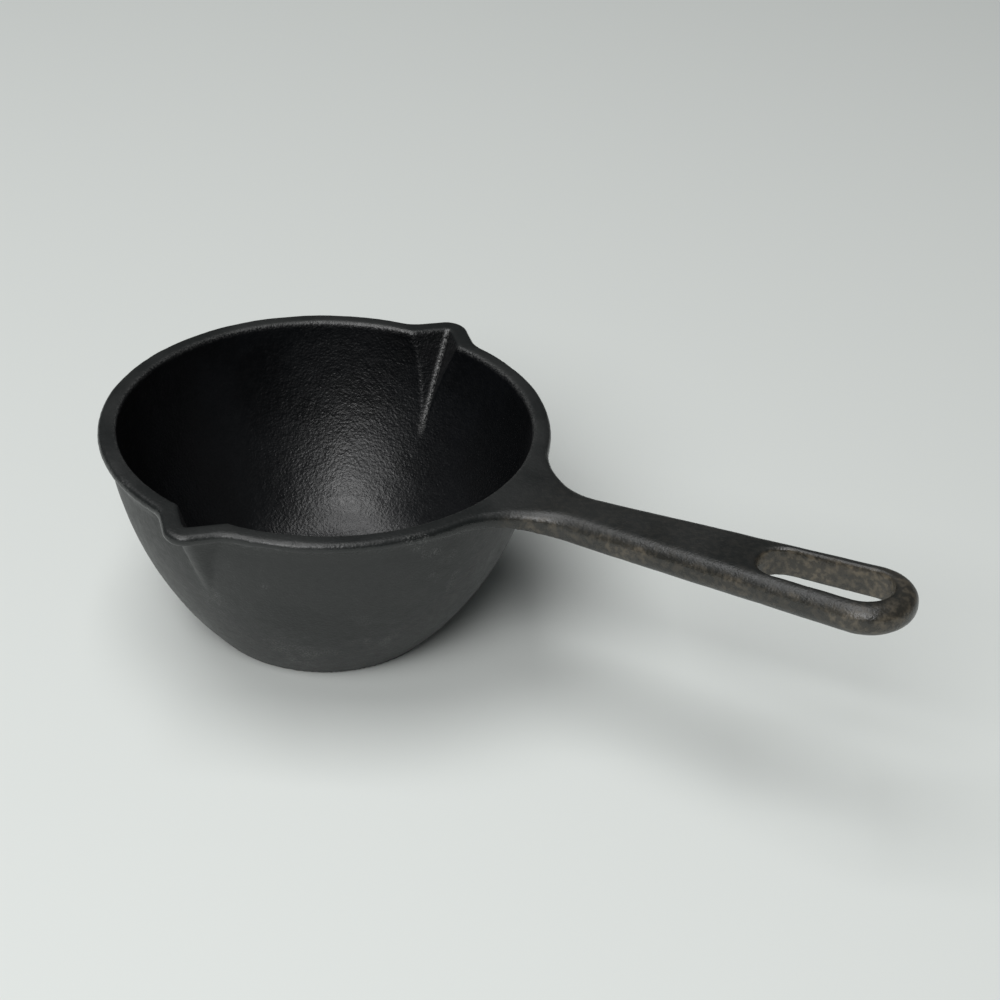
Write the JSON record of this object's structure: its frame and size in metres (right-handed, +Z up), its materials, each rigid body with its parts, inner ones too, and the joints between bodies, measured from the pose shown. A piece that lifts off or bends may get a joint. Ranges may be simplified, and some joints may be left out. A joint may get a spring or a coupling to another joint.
{
  "type": "pouring ladle",
  "caption": "Small cast iron pouring ladle: deep round bowl with a flat base, a pouring spout on each side of the rim, and a short flat handle with a hanging slot.",
  "frame": {"origin": "centre of the flat base, on the bowl's axis", "axes": "+Z up along the bowl's axis, +X along the handle, spouts towards +Y and -Y"},
  "size_m": [0.2406, 0.142, 0.0711],
  "materials": {
    "cast_iron": "as cast, seasoned black, satin with a fine sand texture"
  },
  "bodies": {
    "root": {"pouring_ladle": "cast_iron"}
  },
  "joints": []
}
